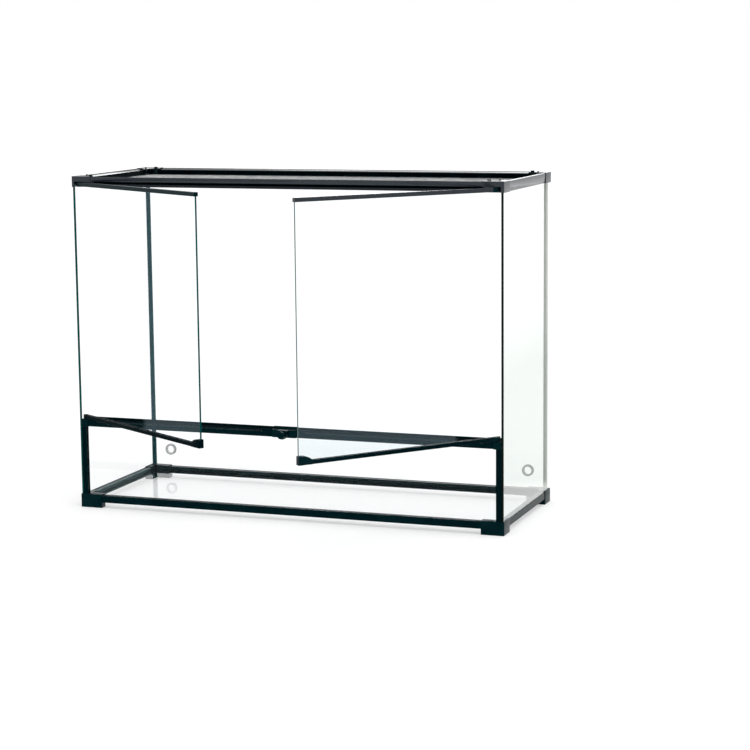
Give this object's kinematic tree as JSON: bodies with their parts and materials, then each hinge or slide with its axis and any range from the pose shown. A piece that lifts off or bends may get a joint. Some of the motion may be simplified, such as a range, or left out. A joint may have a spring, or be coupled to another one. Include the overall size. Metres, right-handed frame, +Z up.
{
  "type": "reptile terrarium",
  "caption": "Framed glass terrarium with hinged front doors over a slotted vent rail, a lift-out screen lid and cable grommets in the back pane.",
  "frame": {"origin": "on the ground, below the middle of the cabinet's footprint; the open doors stand in front of it", "axes": "+X to the right along the cabinet's length, -Y out of the doors, +Z up"},
  "size_m": [1.2, 0.8976, 0.903],
  "materials": {
    "black_plastic": "black extruded and moulded plastic, satin",
    "clear_glass": "clear float glass, polished",
    "tinted_glass": "clear tempered glass with green ground edges",
    "screen": "dark woven wire screen",
    "bolt": "plain pressed steel",
    "grommet": "grey moulded plastic"
  },
  "bodies": {
    "cabinet": {"foot_front_left": "black_plastic", "foot_front_right": "black_plastic", "foot_back_left": "black_plastic", "foot_back_right": "black_plastic", "base_rail_front": "black_plastic", "base_rail_back": "black_plastic", "base_rail_left": "black_plastic", "base_rail_right": "black_plastic", "floor_pane": "clear_glass", "side_pane_left": "tinted_glass", "side_pane_right": "tinted_glass", "back_pane": "clear_glass", "lower_front_pane": "tinted_glass", "front_post_left": "black_plastic", "front_post_right": "black_plastic", "back_strip_left": "black_plastic", "back_strip_right": "black_plastic", "vent_rail_left": "black_plastic", "vent_rail_right": "black_plastic", "hinge_bracket_left": "black_plastic", "hinge_bracket_right": "black_plastic", "lock_housing": "black_plastic", "top_rail_front": "black_plastic", "top_rail_back": "black_plastic", "top_rail_left": "black_plastic", "top_rail_right": "black_plastic", "top_corner_front_left": "black_plastic", "top_corner_front_right": "black_plastic", "top_corner_back_left": "black_plastic", "top_corner_back_right": "black_plastic", "grommet_left": "grommet", "grommet_right": "grommet"},
    "left_door": {"left_door_pane": "tinted_glass", "left_door_top_rail": "black_plastic", "left_door_bottom_rail": "black_plastic", "left_door_corner_block": "black_plastic", "left_door_top_shoe": "black_plastic", "left_door_bottom_shoe": "black_plastic"},
    "right_door": {"right_door_pane": "tinted_glass", "right_door_top_rail": "black_plastic", "right_door_bottom_rail": "black_plastic", "right_door_corner_block": "black_plastic", "right_door_top_shoe": "black_plastic", "right_door_bottom_shoe": "black_plastic"},
    "lid": {"lid_rail_front": "black_plastic", "lid_rail_back": "black_plastic", "lid_rail_left": "black_plastic", "lid_rail_right": "black_plastic", "lid_screen": "screen", "lid_clips": "black_plastic"},
    "barrel": {"lock_barrel": "black_plastic"},
    "bolt": {"lock_bolt": "bolt"}
  },
  "joints": [
    {"name": "left_door_hinge", "type": "hinge", "parent": "cabinet", "child": "left_door", "pos_m": [-0.582, -0.2175, 0.245], "axis": [0, 0, 1], "range_deg": [-72, 33]},
    {"name": "right_door_hinge", "type": "hinge", "parent": "cabinet", "child": "right_door", "pos_m": [0.582, -0.2175, 0.245], "axis": [0, 0, 1], "range_deg": [-51, 54]},
    {"name": "lid_lift", "type": "slide", "parent": "cabinet", "child": "lid", "axis": [0, 0, 1], "range_m": [0, 0.06]},
    {"name": "lock_turn", "type": "hinge", "parent": "cabinet", "child": "barrel", "pos_m": [0, -0.237, 0.2324], "axis": [0, -1, 0], "range_deg": [0, 90]},
    {"name": "bolt_slide", "type": "slide", "parent": "cabinet", "child": "bolt", "axis": [0, 0, 1], "range_m": [0, 0.0061]}
  ],
  "couplings": [
    {"joint": "bolt_slide", "follows": "lock_turn", "m_per_rad": 0.0038197}
  ]
}
